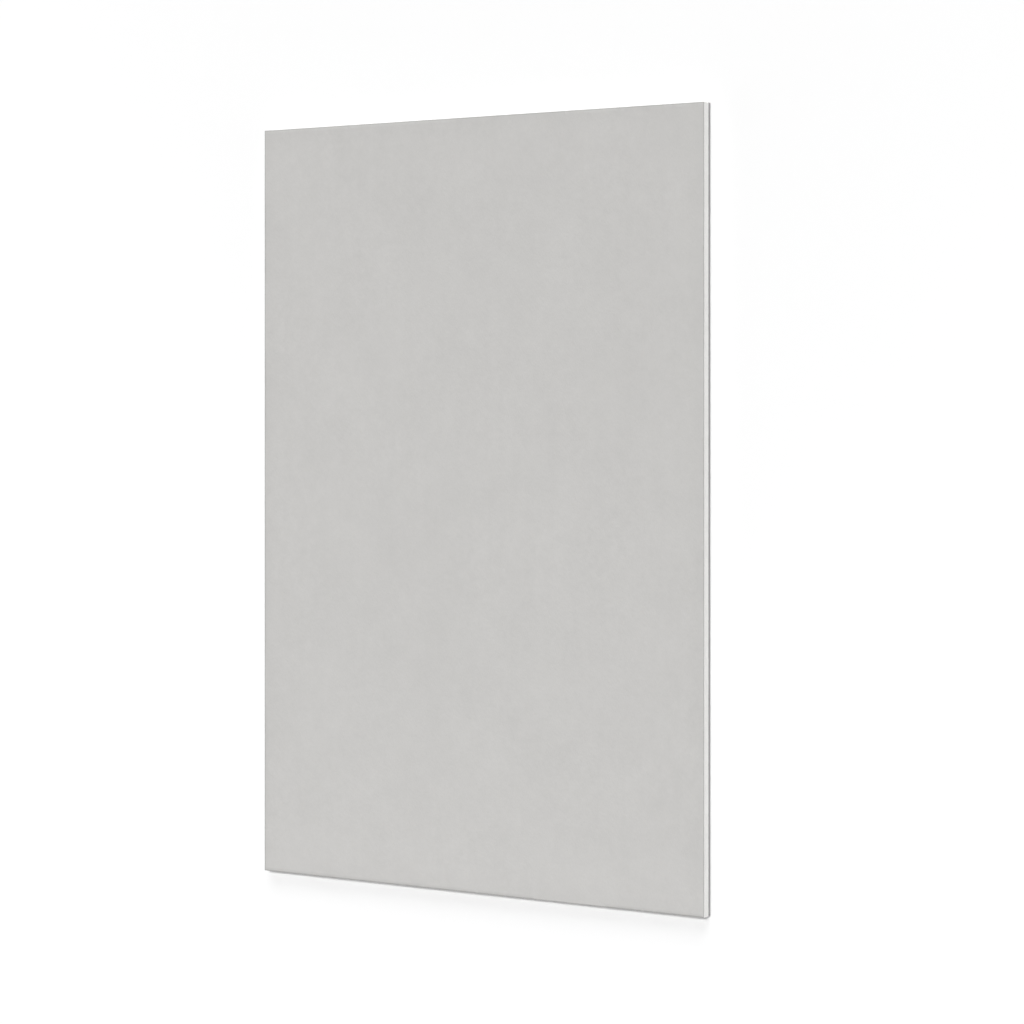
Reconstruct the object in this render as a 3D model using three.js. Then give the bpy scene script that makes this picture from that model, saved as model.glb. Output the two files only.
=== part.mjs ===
// A small sheet of drywall: a gypsum core between two sheets of paper, lying flat with its face up.
// Units are millimetres. X is the width, Y the length, Z the thickness, and z = 0 is the floor.
//
// The board comes off its line as one endless ribbon, so every piece has one section all the way along
// the length. Each is drawn once in the plane of width and thickness, then swept along Y.
// The long edges keep the fold of the backing paper. The two ends are sawn, and show bare core.

import * as THREE from 'three';

// Driving dimensions.
const SHEET_WIDTH = 610;
const SHEET_LENGTH = 914;
const SHEET_THICKNESS = 15.9;
const FACE_PAPER_THICKNESS = 0.4;
const BACK_PAPER_THICKNESS = 0.5;
const LAP_HEIGHT = 5;            // how far the backing paper is folded up each long edge
const FOLD_RADIUS = 1;           // outside radius of that fold
const FOLD_STEPS = 8;            // straight steps round a quarter turn

// Sizes that follow from them.
const HALF_WIDTH = SHEET_WIDTH / 2;
const CORE_TOP = SHEET_THICKNESS - FACE_PAPER_THICKNESS;
const INNER_HALF_WIDTH = HALF_WIDTH - BACK_PAPER_THICKNESS;
const INNER_FOLD_RADIUS = FOLD_RADIUS - BACK_PAPER_THICKNESS;

const FACE_PAPER_LOOK = { color: 0xc6c5c3, roughness: 0.85, metalness: 0 };
const GYPSUM_LOOK = { color: 0xe6e5e2, roughness: 0.95, metalness: 0 };
const BACK_PAPER_LOOK = { color: 0x9b9896, roughness: 0.9, metalness: 0 };

// A solid with one section all along the sheet. The section is drawn as x across and y up.
function swept(name, section, look) {
  const geometry = new THREE.ExtrudeGeometry(section, {
    depth: SHEET_LENGTH,
    bevelEnabled: false,
    curveSegments: FOLD_STEPS,
  });
  const mesh = new THREE.Mesh(geometry, new THREE.MeshStandardMaterial(look));
  mesh.name = name;
  mesh.rotation.x = Math.PI / 2;
  mesh.position.y = SHEET_LENGTH / 2;
  return mesh;
}

// Runs down a right-hand side, round under the sheet and up the left-hand side, with a rounded corner
// each side: the line that the core and the backing paper share, or the paper's outside.
function underside(path, halfWidth, bottom, radius) {
  path.lineTo(-halfWidth, bottom + radius);
  path.absarc(-halfWidth + radius, bottom + radius, radius, Math.PI, 1.5 * Math.PI, false);
  path.lineTo(halfWidth - radius, bottom);
  path.absarc(halfWidth - radius, bottom + radius, radius, 1.5 * Math.PI, 2 * Math.PI, false);
  path.lineTo(halfWidth, LAP_HEIGHT);
}

// Grey facing paper, a flat sheet glued to the top of the core and trimmed flush with its edges.
function facePaper() {
  const section = new THREE.Shape();
  section.moveTo(-HALF_WIDTH, CORE_TOP);
  section.lineTo(HALF_WIDTH, CORE_TOP);
  section.lineTo(HALF_WIDTH, SHEET_THICKNESS);
  section.lineTo(-HALF_WIDTH, SHEET_THICKNESS);
  section.closePath();
  return swept('face_paper', section, FACE_PAPER_LOOK);
}

// Gypsum core, bare on the upper part of each long edge and stepped in where the paper laps it.
function gypsumCore() {
  const section = new THREE.Shape();
  section.moveTo(-HALF_WIDTH, CORE_TOP);
  section.lineTo(-HALF_WIDTH, LAP_HEIGHT);
  section.lineTo(-INNER_HALF_WIDTH, LAP_HEIGHT);
  underside(section, INNER_HALF_WIDTH, BACK_PAPER_THICKNESS, INNER_FOLD_RADIUS);
  section.lineTo(HALF_WIDTH, LAP_HEIGHT);
  section.lineTo(HALF_WIDTH, CORE_TOP);
  section.closePath();
  return swept('gypsum_core', section, GYPSUM_LOOK);
}

// Darker backing paper under the core, one sheet with its two long margins folded up the edges.
function backPaper() {
  const section = new THREE.Shape();
  section.moveTo(-INNER_HALF_WIDTH, LAP_HEIGHT);
  section.lineTo(-HALF_WIDTH, LAP_HEIGHT);
  underside(section, HALF_WIDTH, 0, FOLD_RADIUS);
  section.lineTo(INNER_HALF_WIDTH, LAP_HEIGHT);
  section.lineTo(INNER_HALF_WIDTH, BACK_PAPER_THICKNESS + INNER_FOLD_RADIUS);
  section.absarc(
    INNER_HALF_WIDTH - INNER_FOLD_RADIUS, BACK_PAPER_THICKNESS + INNER_FOLD_RADIUS,
    INNER_FOLD_RADIUS, 2 * Math.PI, 1.5 * Math.PI, true,
  );
  section.lineTo(-INNER_HALF_WIDTH + INNER_FOLD_RADIUS, BACK_PAPER_THICKNESS);
  section.absarc(
    -INNER_HALF_WIDTH + INNER_FOLD_RADIUS, BACK_PAPER_THICKNESS + INNER_FOLD_RADIUS,
    INNER_FOLD_RADIUS, 1.5 * Math.PI, Math.PI, true,
  );
  section.closePath();
  return swept('back_paper', section, BACK_PAPER_LOOK);
}

const sheet = new THREE.Group();
sheet.add(facePaper(), gypsumCore(), backPaper());

export default sheet;
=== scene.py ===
import math
import random

import bpy
import numpy as np
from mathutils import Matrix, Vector, noise


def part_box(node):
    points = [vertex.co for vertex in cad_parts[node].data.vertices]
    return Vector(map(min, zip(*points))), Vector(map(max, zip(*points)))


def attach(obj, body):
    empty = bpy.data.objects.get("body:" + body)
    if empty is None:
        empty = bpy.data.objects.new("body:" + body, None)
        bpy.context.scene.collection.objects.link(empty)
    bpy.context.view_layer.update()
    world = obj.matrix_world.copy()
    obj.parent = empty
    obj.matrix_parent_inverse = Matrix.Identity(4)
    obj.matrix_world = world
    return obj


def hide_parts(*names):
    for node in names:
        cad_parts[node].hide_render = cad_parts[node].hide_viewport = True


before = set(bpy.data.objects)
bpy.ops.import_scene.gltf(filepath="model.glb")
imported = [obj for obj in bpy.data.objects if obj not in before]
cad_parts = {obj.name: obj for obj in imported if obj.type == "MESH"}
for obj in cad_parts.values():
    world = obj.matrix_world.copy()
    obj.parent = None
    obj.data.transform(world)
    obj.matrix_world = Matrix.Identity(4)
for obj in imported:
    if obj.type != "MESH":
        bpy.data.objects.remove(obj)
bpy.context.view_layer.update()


# --- Gypsum core ---------------------------------------------------------------------------------
# The board's middle: plaster foamed and set between two papers, off-white and chalky. It is bare at
# the sawn ends and on the upper part of both long edges, where the saw leaves a granular face with
# burst air bubbles and a few crumbs gone from under the paper.

MM = 0.001
GYPSUM_COLOUR = (0.812, 0.804, 0.790)
FOLD_RADIUS = 1.0 * MM         # outside radius of the backing paper's fold
SAW_STEP = 0.95 * MM           # spacing of points along the cut
CORE_ROWS = 18                 # even rows of points through the thickness
LOWER_ROWS = (0.15 * MM, 0.5 * MM)  # more rows, this far above the lower arris
UPPER_ROWS = (0.5 * MM, 0.2 * MM)   # and this far below the upper one
LAP_LEDGE = 0.01 * MM          # height over which the core steps in for the lap
ARRIS_ANGLE = math.radians(38)      # faces that turn by more than this meet in an arris

SAW_DEPTH = 0.04 * MM          # the core stands back from the papers' edges by at least this
DRIFT_DEPTH = 0.10 * MM        # slow wander of the blade
DRIFT_WAVES = 28               # waves to the metre, as in every name that ends so
GRAIN_DEPTH = 0.14 * MM
GRAIN_WAVES = 480
BUBBLE_DEPTH = 0.30 * MM
BUBBLE_WAVES = 330
BUBBLE_SHIFT = Vector((7, 3, 1))    # so that the bubbles don't follow the grain
BUBBLE_ONSET = 0.25            # only the noise above this level is a burst bubble
CRUMBLE_DEPTH = 0.20 * MM      # loss along both arrises, under the paper
CRUMBLE_WAVES = 150
CRUMBLE_WIDTH = 0.9 * MM
CRUMBLE_LEAST = 0.35           # share of that loss which is the same all along an arris
CHIP_COUNT = 150
CHIP_SEED = 31
CHIP_REACH = (0.8 * MM, 2.6 * MM)
CHIP_DEPTH = (0.15 * MM, 0.55 * MM)
CHIP_POWER = 0.7               # under 1, so a chip is steep at its outline

NOISE_SIZE = 0.5               # features of a noise texture at scale 1, in metres
NOISE_LEVELS = (0.25, 0.75)    # nearly all of it lies between these
SPOT_WOBBLE = 1.2              # waves to the radius in a spot's ragged outline
SPOT_PUSH = 0.9                # how far they push it, in radii
SPOT_LEAST = 0.15              # size of the smallest spots against the largest

core_low, core_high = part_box("gypsum_core")
back_low, back_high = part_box("back_paper")
backing = core_low.z - back_low.z          # thickness of the backing paper
lap_top = back_high.z                      # where its folded margin ends on the long edge


def mesh_piece(name, points, faces):
    """A mesh whose faces run smoothly into each other, except over its square arrises."""
    mesh = bpy.data.meshes.new(name)
    mesh.from_pydata(points, [], faces)
    mesh.validate()
    mesh.shade_smooth()
    mesh.set_sharp_from_angle(angle=ARRIS_ANGLE)
    piece = bpy.data.objects.new(name, mesh)
    bpy.context.scene.collection.objects.link(piece)
    return piece


def swell(place):
    """Smooth noise from 0 to 1 at one place."""
    return 0.5 + 0.5 * noise.noise(place)


def core_half_width(z):
    """Half the core's width at one height: full above the lap, stepped in and rounded under it."""
    if z > lap_top:
        return core_high.x
    inner_radius = FOLD_RADIUS - backing
    rise = max(0.0, inner_radius - (z - core_low.z))
    tuck = inner_radius - math.sqrt(inner_radius ** 2 - rise ** 2)
    return core_high.x - backing - tuck


def core_heights():
    """Heights of the rows of points, closer at the arrises and doubled at the step over the lap."""
    thickness = core_high.z - core_low.z
    rows = [core_low.z + thickness * i / (CORE_ROWS - 1) for i in range(CORE_ROWS)]
    rows += [core_low.z + rise for rise in LOWER_ROWS]
    rows += [core_high.z - drop for drop in UPPER_ROWS]
    rows += [lap_top, lap_top + LAP_LEDGE]
    return sorted(rows)


def walk_round(half_width):
    """Points round the sheet at one height, each with the direction in which its cut faces."""
    across = round(2 * core_high.x / SAW_STEP)
    along = round(2 * core_high.y / SAW_STEP)
    sides = [((-1, -1), (1, -1), across, (0, -1)), ((1, -1), (1, 1), along, (1, 0)),
             ((1, 1), (-1, 1), across, (0, 1)), ((-1, 1), (-1, -1), along, (-1, 0))]
    walk = []
    for start, end, count, facing in sides:
        for i in range(count):
            share = i / count
            x = half_width * (start[0] + (end[0] - start[0]) * share)
            y = core_high.y * (start[1] + (end[1] - start[1]) * share)
            walk.append((x, y) + (start if i == 0 else facing))
    return walk


def saw_loss(x, y, z):
    """How deep the cut face lies under its true plane at one place."""
    place = Vector((x, y, z))
    drift = swell(place * DRIFT_WAVES)
    grain = swell(place * GRAIN_WAVES)
    bubble = max(0.0, noise.noise(place * BUBBLE_WAVES + BUBBLE_SHIFT) - BUBBLE_ONSET)
    to_arris = min(core_high.z - z, z - core_low.z)
    near_arris = max(0.0, 1 - to_arris / CRUMBLE_WIDTH)
    crumbs = abs(noise.noise(place * CRUMBLE_WAVES))
    crumble = near_arris ** 2 * (CRUMBLE_LEAST + (1 - CRUMBLE_LEAST) * crumbs)
    return (SAW_DEPTH + DRIFT_DEPTH * drift + GRAIN_DEPTH * grain
            + BUBBLE_DEPTH * bubble + CRUMBLE_DEPTH * crumble)


def chip_arrises(points, inward, ring):
    """Takes chips out of the two arrises, each by pushing the points round its centre inward."""
    dice = random.Random(CHIP_SEED)
    for _ in range(CHIP_COUNT):
        centre = points[dice.randrange(ring)].copy()
        centre[2] = dice.choice((core_low.z, core_high.z))
        reach = dice.uniform(*CHIP_REACH)
        depth = dice.uniform(*CHIP_DEPTH)
        away = np.linalg.norm(points - centre, axis=1)
        bite = np.clip(1 - away / reach, 0, 1) ** CHIP_POWER
        points += inward * (bite * depth)[:, None]


def sawn_core():
    """The core as rings of points round its cut faces, closed over its face and its back."""
    heights = core_heights()
    points = []
    inward = []
    for z in heights:
        for x, y, facing_x, facing_y in walk_round(core_half_width(z)):
            loss = saw_loss(x, y, z)
            points.append((x - facing_x * loss, y - facing_y * loss, z))
            inward.append((-facing_x, -facing_y, 0))
    points = np.array(points)
    ring = len(points) // len(heights)
    chip_arrises(points, np.array(inward), ring)

    faces = []
    for row in range(len(heights) - 1):
        low = row * ring
        high = low + ring
        for i in range(ring):
            j = (i + 1) % ring
            faces.append((low + i, low + j, high + j, high + i))
    faces.append(tuple(reversed(range(ring))))
    faces.append(tuple(range(len(points) - ring, len(points))))
    return mesh_piece("sawn_gypsum_core", points.tolist(), faces)


class Finish:
    """A matte material, with its colour, roughness and relief mixed from real-scale noises."""

    def __init__(self, name):
        self.material = bpy.data.materials.new(name)
        self.material.use_nodes = True
        self.tree = self.material.node_tree
        self.shader = self.tree.nodes["Principled BSDF"]
        self.place = self.node("ShaderNodeTexCoord").outputs["Object"]

    def node(self, kind, operation=None, **values):
        """A new node, with its sockets fed by name and a _ for each space in a name."""
        node = self.tree.nodes.new(kind)
        if operation:
            node.operation = operation
        for socket, value in values.items():
            self.feed(node.inputs[socket.replace("_", " ")], value)
        return node

    def feed(self, socket, value):
        """Links a socket to another node's output, or sets its value."""
        if isinstance(value, bpy.types.NodeSocket):
            self.tree.links.new(value, socket)
        else:
            socket.default_value = value

    def math(self, operation, a, b):
        node = self.node("ShaderNodeMath", operation)
        self.feed(node.inputs[0], a)
        self.feed(node.inputs[1], b)
        return node.outputs["Value"]

    def spread(self, value, source, target, smooth=False):
        """A value moved from the range source to the range target, and kept within it."""
        node = self.node("ShaderNodeMapRange", Value=value, From_Min=source[0], From_Max=source[1],
                         To_Min=target[0], To_Max=target[1])
        if smooth:
            node.interpolation_type = "SMOOTHSTEP"
        return node.outputs["Result"]

    def cloud(self, size, low, high, octaves=3, evenness=0.5, stretch=(1, 1, 1), turn=0):
        """Soft noise with features of one size, between low and high."""
        grid = self.node("ShaderNodeMapping", Vector=self.place, Scale=stretch,
                         Rotation=(0, 0, turn))
        field = self.node("ShaderNodeTexNoise", Vector=grid.outputs["Vector"],
                          Scale=NOISE_SIZE / size, Detail=octaves - 1, Roughness=evenness)
        return self.spread(field.outputs["Fac"], NOISE_LEVELS, (low, high))

    def spots(self, pitch, radius):
        """Scattered ragged spots of many sizes up to one radius: 0 in the middle, 1 outside."""
        ragged = self.node("ShaderNodeTexNoise", Vector=self.place, Scale=SPOT_WOBBLE / radius)
        shift = self.node("ShaderNodeVectorMath", "SCALE", Scale=SPOT_PUSH * radius)
        self.feed(shift.inputs[0], ragged.outputs["Color"])
        place = self.node("ShaderNodeVectorMath", "ADD")
        self.feed(place.inputs[0], self.place)
        self.feed(place.inputs[1], shift.outputs["Vector"])
        field = self.node("ShaderNodeTexVoronoi", Vector=place.outputs["Vector"], Scale=1 / pitch)
        chance = self.node("ShaderNodeSeparateColor", Color=field.outputs["Color"])
        few_large = self.math("POWER", chance.outputs["Red"], 2)
        size = self.spread(few_large, (0, 1), (SPOT_LEAST, 1))
        edge = self.math("MULTIPLY", size, radius / pitch)
        return self.spread(field.outputs["Distance"], (0, edge), (0, 1), smooth=True)

    def shaded(self, spots, shade):
        """The shade in the middle of each spot, and 1 outside."""
        return self.spread(spots, (0, 1), (shade, 1))

    def mixed(self, *shades):
        """Several shades multiplied together."""
        total = shades[0]
        for shade in shades[1:]:
            total = self.math("MULTIPLY", total, shade)
        return total

    def colour(self, colour, *shades):
        """One colour all over, made lighter and darker from place to place by the shades."""
        tinted = self.node("ShaderNodeVectorMath", "SCALE", Scale=self.mixed(*shades))
        tinted.inputs[0].default_value = colour
        self.feed(self.shader.inputs["Base Color"], tinted.outputs["Vector"])

    def relief(self, *layers):
        """Bumps, each a height from 0 to 1 and its real depth, one over the other."""
        normal = None
        for height, depth in layers:
            bump = self.node("ShaderNodeBump", Height=height, Distance=depth, Strength=1.0)
            if normal is not None:
                self.feed(bump.inputs["Normal"], normal)
            normal = bump.outputs["Normal"]
        self.feed(self.shader.inputs["Normal"], normal)

    def matte(self, roughness, gloss):
        """A roughness, even or made of noise, under one even strength of gloss."""
        self.feed(self.shader.inputs["Roughness"], roughness)
        self.shader.inputs["Specular IOR Level"].default_value = gloss


def gypsum_finish():
    """Chalky gypsum: a fine grain, the strokes of the saw, and broken bubbles of three sizes,
    darker in the middle as painted shade in their hollows.
    """
    finish = Finish("sawn_gypsum")
    patches = finish.cloud(14 * MM, 0.985, 1.015)
    grain = finish.cloud(0.5 * MM, 0.93, 1.07, octaves=4, evenness=0.6)
    strokes = finish.cloud(6 * MM, 0.975, 1.025, stretch=(1, 1, 14))
    voids = finish.spots(pitch=5.5 * MM, radius=1.3 * MM)
    bubbles = finish.spots(pitch=1.9 * MM, radius=0.75 * MM)
    pores = finish.spots(pitch=0.8 * MM, radius=0.3 * MM)
    # The voids, bubbles and pores are darker in the middle: painted shade in their hollows.
    finish.colour(GYPSUM_COLOUR, patches, grain, strokes, finish.shaded(voids, 0.80),
                  finish.shaded(bubbles, 0.86), finish.shaded(pores, 0.90))
    finish.relief((grain, 0.25 * MM), (voids, 0.6 * MM), (bubbles, 0.4 * MM), (pores, 0.18 * MM),
                  (strokes, 0.3 * MM))
    finish.matte(roughness=finish.cloud(2 * MM, 0.88, 1.0), gloss=0.25)
    return finish.material


core = sawn_core()
core.data.materials.append(gypsum_finish())
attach(core, "root")
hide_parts("gypsum_core")


# --- Backing paper -------------------------------------------------------------------------------
# One sheet of grey recycled paper over the whole back. On the forming line its two long margins are
# creased and turned up, and they stay glued to the lower part of each long edge.

BACKING_COLOUR = (0.345, 0.336, 0.340)
BACK_STEP = 1.5 * MM           # spacing of points along the sheet
BACK_COLUMN = 20 * MM          # spacing across the flat back
FOLD_POINTS = 7                # points round each fold
FLUSH = 0.01 * MM              # a point this close to a plane lies on it
LAP_WANDER = 0.22 * MM         # how far the margin's trimmed edge wanders,
LAP_DROP = 0.4                 # mostly below its line, by this share
LAP_LONG_WAVES = 60
LAP_SHORT_WAVES = 240
LAP_RIPPLE = 0.07 * MM         # how far the lap is pressed in here and there
RIPPLE_WAVES = (45, 200)       # along the lap, and up it
BACK_WAVE = 0.05 * MM          # how far the flat back rises from the floor here and there
BACK_WAVES = 18

FIBRE_RELIEF = 0.105 * MM      # how far the pulp stands up, the same on both papers
CLOT_RELIEF = 0.070 * MM
CLOUD_RELIEF = 0.035 * MM
FIBRE_TURNS = (-0.9, 0.1, 1.2)      # the ways in which the fibres lie, in radians
BRUISE_WIDTH = (0.4 * MM, 1.3 * MM)  # a rim is darkest within the first, and plain past the second
FOOT_SHADE_AND_LEFT_RIM_WIDTH = (0.4 * MM, 1.1 * MM)  # the same for the painted shade at the bottom end's rim and the darker left rim
RIM_SHADE_WIDTH = 25 * MM        # very slight painted shade towards the rims reaches this far in


def back_section(clearance, radius):
    """The paper's section as one line: down a lap, round the fold, over the back and up again."""
    half = back_high.x - clearance
    count = round((half - radius) / BACK_COLUMN)
    line = [((half - radius) * i / count, clearance) for i in range(count)]
    for i in range(FOLD_POINTS):
        turn = 0.5 * math.pi * i / (FOLD_POINTS - 1)
        x = half - radius + radius * math.sin(turn)
        z = clearance + radius - radius * math.cos(turn)
        line.append((x, z))
    line.append((half, 0.5 * (FOLD_RADIUS + lap_top)))
    line.append((half, lap_top))
    return [(-x, z) for x, z in reversed(line[1:])] + line


def settle_backing(x, y, z):
    """The trimmed edge wanders a little, and the paper lies on the core with small ripples."""
    side = math.copysign(1, x)
    if z >= lap_top - FLUSH:
        # Either lap, and either wave, has a row of the noise to itself.
        long_wave = noise.noise(Vector((side * 3, y * LAP_LONG_WAVES, 0)))
        short_wave = noise.noise(Vector((side * 5, y * LAP_SHORT_WAVES, 0)))
        z += LAP_WANDER * (0.6 * long_wave + 0.4 * short_wave - LAP_DROP)
    if z > FOLD_RADIUS:
        along, up = RIPPLE_WAVES
        x -= side * LAP_RIPPLE * swell(Vector((side, y * along, z * up)))
    elif z < FLUSH:
        z += BACK_WAVE * swell(Vector((x * BACK_WAVES, y * BACK_WAVES, 0)))
    return (x, y, z)


def folded_sheet():
    """The paper as a closed sheet: an outer and an inner skin of its section, swept lengthwise."""
    outer = back_section(0, FOLD_RADIUS)
    inner = back_section(backing, FOLD_RADIUS - backing)
    steps = round(2 * back_high.y / BACK_STEP)
    places = [-back_high.y + 2 * back_high.y * i / steps for i in range(steps + 1)]
    points = [settle_backing(x, y, z) for y in places for x, z in outer + inner]

    width = len(outer)
    last = width - 1
    faces = []
    for k in range(steps):
        here = 2 * width * k
        there = here + 2 * width
        for i in range(last):
            inside, beyond = here + width + i, there + width + i
            faces.append((here + i, here + i + 1, there + i + 1, there + i))
            faces.append((inside, beyond, beyond + 1, inside + 1))
        faces.append((here, there, there + width, here + width))
        faces.append((here + last, here + width + last, there + width + last, there + last))
    end = 2 * width * steps
    for i in range(last):
        faces.append((i, width + i, width + i + 1, i + 1))
        faces.append((end + i, end + i + 1, end + width + i + 1, end + width + i))
    return mesh_piece("folded_backing_paper", points, faces)


def paper_finish(name, colour, cloudiness, speckle, rim, corner):
    """Matte board paper: pulp clouds of every size, crossing fibres, flecks, a worn rim and faint
    painted shade towards the rims.

    The corner is the sheet's far one, and places the rim: the sheet is centred on the origin.
    """
    finish = Finish(name)
    clouds = finish.cloud(40 * MM, 1 - cloudiness, 1 + cloudiness, octaves=5, evenness=0.9)
    patches = finish.cloud(60 * MM, 0, 1)
    clots = finish.cloud(5 * MM, -0.6 * cloudiness, 0.6 * cloudiness, octaves=3, evenness=0.8)
    clotting = finish.math("ADD", finish.math("MULTIPLY", clots, patches), 1)
    streaks = finish.cloud(7 * MM, 1 - 0.15 * cloudiness, 1 + 0.15 * cloudiness,
                           stretch=(1, 0.04, 1))
    fibres = [finish.cloud(0.4 * MM, 1 - 0.3 * cloudiness, 1 + 0.3 * cloudiness, octaves=2,
                           stretch=(1, 0.25, 1), turn=turn) for turn in FIBRE_TURNS]
    felt = finish.mixed(*fibres)
    flecks = finish.shaded(finish.spots(pitch=6 * MM, radius=0.8 * MM), 1 - speckle)
    specks = finish.shaded(finish.spots(pitch=2 * MM, radius=0.3 * MM), 1 - speckle)

    axes = finish.node("ShaderNodeSeparateXYZ", Vector=finish.place).outputs
    to_side = finish.math("SUBTRACT", corner.x, finish.math("ABSOLUTE", axes["X"], 0))
    to_end = finish.math("SUBTRACT", corner.y, finish.math("ABSOLUTE", axes["Y"], 0))
    to_rim = finish.math("MINIMUM", to_side, to_end)
    worn = finish.math("SUBTRACT", to_rim, finish.cloud(4 * MM, 0, 0.5 * MM))
    bruise = finish.spread(worn, BRUISE_WIDTH, (1 - rim, 1))
    # Faintly darker towards every rim: painted shade.
    rim_shade = finish.spread(to_rim, (0, RIM_SHADE_WIDTH), (1 - 0.1 * rim, 1))

    # The rims of the bottom end and the left edge are darker still: at the bottom end this is
    # painted shade for the floor's contact shadow.
    to_left = finish.math("ADD", corner.x, axes["X"])
    to_foot = finish.math("ADD", corner.y, axes["Y"])
    to_foot_or_left = finish.math("MINIMUM", to_left, to_foot)
    ragged_to_foot_or_left = finish.math("SUBTRACT", to_foot_or_left, finish.cloud(6 * MM, 0, 0.4 * MM))
    foot_shade_and_left_rim = finish.spread(ragged_to_foot_or_left, FOOT_SHADE_AND_LEFT_RIM_WIDTH, (1 - 0.9 * rim, 1))

    finish.colour(colour, clouds, clotting, streaks, felt, flecks, specks, bruise, rim_shade, foot_shade_and_left_rim)
    finish.relief((felt, FIBRE_RELIEF / cloudiness), (clots, CLOT_RELIEF / cloudiness),
                  (clouds, CLOUD_RELIEF / cloudiness))
    finish.matte(roughness=finish.cloud(5 * MM, 0.80, 0.96), gloss=0.3)
    return finish.material


backing_paper = folded_sheet()
backing_paper.data.materials.append(
    paper_finish("backing_paper", BACKING_COLOUR, cloudiness=0.07, speckle=0.15, rim=0.03,
                 corner=back_high))
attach(backing_paper, "root")
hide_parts("back_paper")


# --- Facing paper --------------------------------------------------------------------------------
# The side that is seen and painted: smooth grey board paper glued flat on the core. It is sawn
# through with the core, so its edge is square, a hair frayed, and stands just proud of the gypsum.

FACING_COLOUR = (0.547, 0.540, 0.528)
FACE_STEP = 5 * MM             # spacing of points over the face
RIM_STEPS = 5                  # points along the rim to each of those
FACE_WAVE = 0.05 * MM          # how far the glued paper rises and falls with the core under it
FACE_WAVES = 14
EDGE_EASE = 0.10 * MM          # the saw leaves the arris this much rounded
FRAY = 0.25 * MM               # how far the cut rim wanders in from the sheet's true outline
FRAY_COARSE_WAVES = 160
FRAY_FINE_WAVES = 520

face_low, face_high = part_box("face_paper")


def settle_face(x, y, z):
    """The cut rim wanders a little, and the top follows slow waves in the core."""
    coarse = noise.noise(Vector((x * FRAY_COARSE_WAVES, y * FRAY_COARSE_WAVES, 4)))
    fine = noise.noise(Vector((x * FRAY_FINE_WAVES, y * FRAY_FINE_WAVES, 9)))
    fray = FRAY * (0.5 + 0.3 * coarse + 0.2 * fine)
    if abs(x) > face_high.x - 2 * EDGE_EASE:
        x -= math.copysign(fray, x)
    if abs(y) > face_high.y - 2 * EDGE_EASE:
        y -= math.copysign(fray, y)
    if z > face_high.z - FLUSH:
        z -= FACE_WAVE * swell(Vector((x * FACE_WAVES, y * FACE_WAVES, 0)))
    return (x, y, z)


def cell_outline(column, row, columns, rows):
    """One cell of the face, walked in rim steps: a side on the sheet's rim takes in every step."""
    left, low = column * RIM_STEPS, row * RIM_STEPS
    right, high = left + RIM_STEPS, low + RIM_STEPS
    bottom_side = range(left, right, 1 if row == 0 else RIM_STEPS)
    right_side = range(low, high, 1 if column == columns - 1 else RIM_STEPS)
    top_side = range(right, left, -1 if row == rows - 1 else -RIM_STEPS)
    left_side = range(high, low, -1 if column == 0 else -RIM_STEPS)
    return ([(i, low) for i in bottom_side] + [(right, j) for j in right_side]
            + [(i, high) for i in top_side] + [(left, j) for j in left_side])


def facing_sheet():
    """The paper as a closed sheet: cells over its top and underside, and a cut rim all round."""
    columns = round(2 * face_high.x / FACE_STEP)
    rows = round(2 * face_high.y / FACE_STEP)
    across, along = columns * RIM_STEPS, rows * RIM_STEPS
    points = []
    faces = []
    numbers = {}

    def point(step, inset, z):
        if (step, inset, z) not in numbers:
            x = (2 * step[0] / across - 1) * (face_high.x - inset)
            y = (2 * step[1] / along - 1) * (face_high.y - inset)
            numbers[step, inset, z] = len(points)
            points.append(settle_face(x, y, z))
        return numbers[step, inset, z]

    for column in range(columns):
        for row in range(rows):
            outline = cell_outline(column, row, columns, rows)
            faces.append([point(step, EDGE_EASE, face_high.z) for step in outline])
            faces.append([point(step, 0, face_low.z) for step in reversed(outline)])

    rim = [(i, 0) for i in range(across)] + [(across, j) for j in range(along)]
    rim += [(i, along) for i in range(across, 0, -1)] + [(0, j) for j in range(along, 0, -1)]
    levels = [(0, face_low.z), (0, face_high.z - EDGE_EASE), (EDGE_EASE, face_high.z)]
    for here, there in zip(rim, rim[1:] + rim[:1]):
        for under, over in zip(levels, levels[1:]):
            faces.append((point(here, *under), point(there, *under),
                          point(there, *over), point(here, *over)))
    return mesh_piece("facing_paper_sheet", points, faces)


facing_paper = facing_sheet()
facing_paper.data.materials.append(
    paper_finish("facing_paper", FACING_COLOUR, cloudiness=0.035, speckle=0.02, rim=0.20,
                 corner=face_high))
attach(facing_paper, "root")
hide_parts("face_paper")


# --- Studio --------------------------------------------------------------------------------------
# A plain white floor that runs into an even white room. A small lamp hangs high overhead, a broad
# one low beyond the top end, a soft box at each long side and one past the bottom end. The camera
# looks down on the sheet from over its right-hand side.

FLOOR_SIZE = 30.0
FLOOR_COLOUR = (0.970, 0.970, 0.970)
FLOOR_FADE = (0.9, 1.8)        # between these distances the floor runs into the white backdrop
FOOT_LAMP = (0, -1.0, 0.45)    # over the floor past the bottom end
FOOT_POOL_SHADE = 0.915              # the floor under that lamp is darkened to this, painted shade that evens out its pool of light,
FOOT_REACH = 0.9               # and less and less as far out as this
ROOM_LIGHT = 0.338
# Each sun lamp's name, place, strength, and breadth in degrees.
SUN_LAMPS = (("overhead_lamp", (0.8, 0.95, 3.0), 0.537 * math.pi, 7),
             ("head_light", (0.3, 1.7, 1.0), 0.284 * math.pi, 35))
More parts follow.
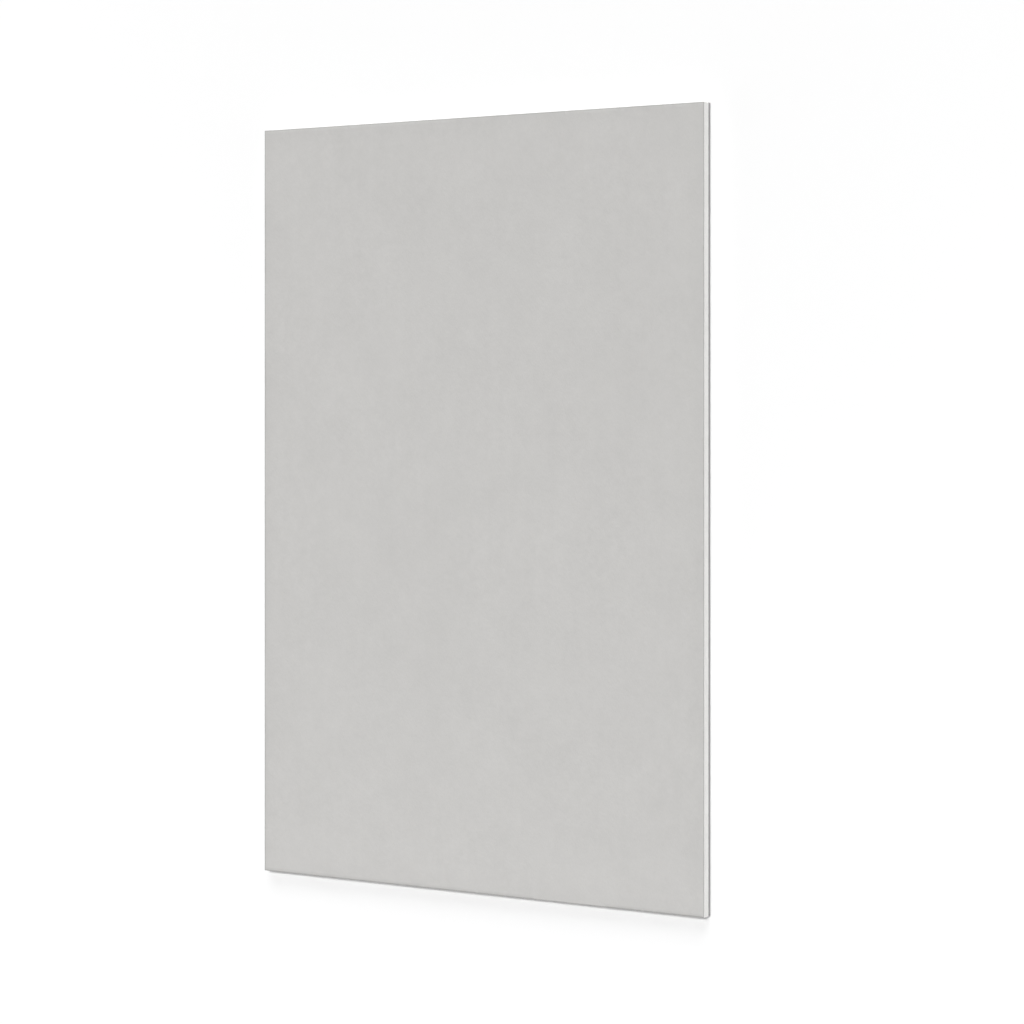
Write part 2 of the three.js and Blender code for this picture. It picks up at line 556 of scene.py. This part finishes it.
# Each soft box's name, place, target, watts and size.
SOFT_BOXES = (("right_soft_box", (2.2, -0.2, 0.5), (0, 0, 0), 4.6, (1.6, 0.8)),
              ("left_soft_box", (-2.2, -0.2, 0.5), (0, 0, 0), 6.6, (1.6, 0.8)),
              ("foot_soft_box", FOOT_LAMP, (0, -0.5, 0), 0.58, (1.0, 0.3)))

VIEW_TURN = math.radians(31.39)     # the camera's lean from straight above, towards +X
VIEW_PLACE = (1.7143, 0.1101, 2.7385)
VIEW_SHIFT = -0.0982           # the frame sits this share of its width below the lens axis
LENS = 96.04                   # millimetres, as is the sensor's width
SENSOR = 36


def background_rays(tree):
    """1 for the rays that show the background, straight or in a gloss, and 0 for all others."""
    ray = tree.nodes.new("ShaderNodeLightPath")
    seen = ray.outputs["Is Camera Ray"]
    for kind in ("Is Glossy Ray", "Is Transmission Ray"):
        either = tree.nodes.new("ShaderNodeMath")
        either.operation = "MAXIMUM"
        tree.links.new(seen, either.inputs[0])
        tree.links.new(ray.outputs[kind], either.inputs[1])
        seen = either.outputs["Value"]
    return seen


def floor_finish():
    """Dead white, with painted shade past the bottom end that evens out the foot lamp's pool of
    light, and plain backdrop white further out.
    """
    finish = Finish("white_floor")
    from_foot = finish.node("ShaderNodeVectorMath", "DISTANCE", Vector=finish.place)
    from_foot.inputs[1].default_value = FOOT_LAMP[:2] + (0,)
    lamp_pool_shade = finish.spread(from_foot.outputs["Value"], (0, FOOT_REACH), (FOOT_POOL_SHADE, 1), smooth=True)
    finish.colour(FLOOR_COLOUR, finish.cloud(300 * MM, 0.998, 1.002), lamp_pool_shade)
    finish.matte(roughness=1.0, gloss=0.0)

    from_sheet = finish.node("ShaderNodeVectorMath", "LENGTH", Vector=finish.place)
    faded = finish.spread(from_sheet.outputs["Value"], FLOOR_FADE, (0, 1), smooth=True)
    backdrop = finish.node("ShaderNodeEmission", Color=(1, 1, 1, 1), Strength=1.0)
    share = finish.math("MULTIPLY", faded, background_rays(finish.tree))
    merged = finish.node("ShaderNodeMixShader", Fac=share)
    finish.feed(merged.inputs[1], finish.shader.outputs["BSDF"])
    finish.feed(merged.inputs[2], backdrop.outputs["Emission"])
    surface = finish.tree.nodes["Material Output"].inputs["Surface"]
    finish.feed(surface, merged.outputs["Shader"])
    return finish.material


def white_room():
    """Even light from all round, in front of a backdrop that the camera sees as plain white."""
    room = bpy.data.worlds.new("white_room")
    room.use_nodes = True
    tree = room.node_tree
    glow = tree.nodes["Background"]
    glow.inputs["Color"].default_value = (1, 1, 1, 1)
    glow.inputs["Strength"].default_value = ROOM_LIGHT
    backdrop = tree.nodes.new("ShaderNodeBackground")
    backdrop.inputs["Color"].default_value = (1, 1, 1, 1)
    backdrop.inputs["Strength"].default_value = 1.0
    choice = tree.nodes.new("ShaderNodeMixShader")
    tree.links.new(background_rays(tree), choice.inputs["Fac"])
    tree.links.new(glow.outputs["Background"], choice.inputs[1])
    tree.links.new(backdrop.outputs["Background"], choice.inputs[2])
    tree.links.new(choice.outputs["Shader"], tree.nodes["World Output"].inputs["Surface"])
    return room


def lamp(name, kind, place, energy, target=(0, 0, 0)):
    """A lamp that points at its target and stays out of the picture."""
    light = bpy.data.lights.new(name, kind)
    light.energy = energy
    stand = bpy.data.objects.new(name, light)
    stand.location = place
    stand.rotation_euler = (Vector(target) - Vector(place)).to_track_quat("-Z", "Y").to_euler()
    stand.visible_camera = False
    bpy.context.scene.collection.objects.link(stand)
    return light


reach = FLOOR_SIZE / 2
corners = [(-reach, -reach, 0), (reach, -reach, 0), (reach, reach, 0), (-reach, reach, 0)]
floor_mesh = bpy.data.meshes.new("floor")
floor_mesh.from_pydata(corners, [], [(0, 1, 2, 3)])
floor_mesh.materials.append(floor_finish())
floor = bpy.data.objects.new("floor", floor_mesh)
bpy.context.scene.collection.objects.link(floor)

bpy.context.scene.world = white_room()
for name, place, strength, degrees in SUN_LAMPS:
    sun = lamp(name, "SUN", place, strength)
    sun.angle = math.radians(degrees)
for name, place, target, watts, size in SOFT_BOXES:
    box = lamp(name, "AREA", place, watts, target)
    box.shape = "RECTANGLE"
    box.size, box.size_y = size

camera_data = bpy.data.cameras.new("camera")
camera_data.lens = LENS
camera_data.sensor_width = SENSOR
camera_data.shift_y = VIEW_SHIFT
camera = bpy.data.objects.new("camera", camera_data)
camera.location = VIEW_PLACE
camera.rotation_euler = (0, VIEW_TURN, 0)
bpy.context.scene.collection.objects.link(camera)
bpy.context.scene.camera = camera
bpy.context.scene.view_settings.view_transform = "Standard"
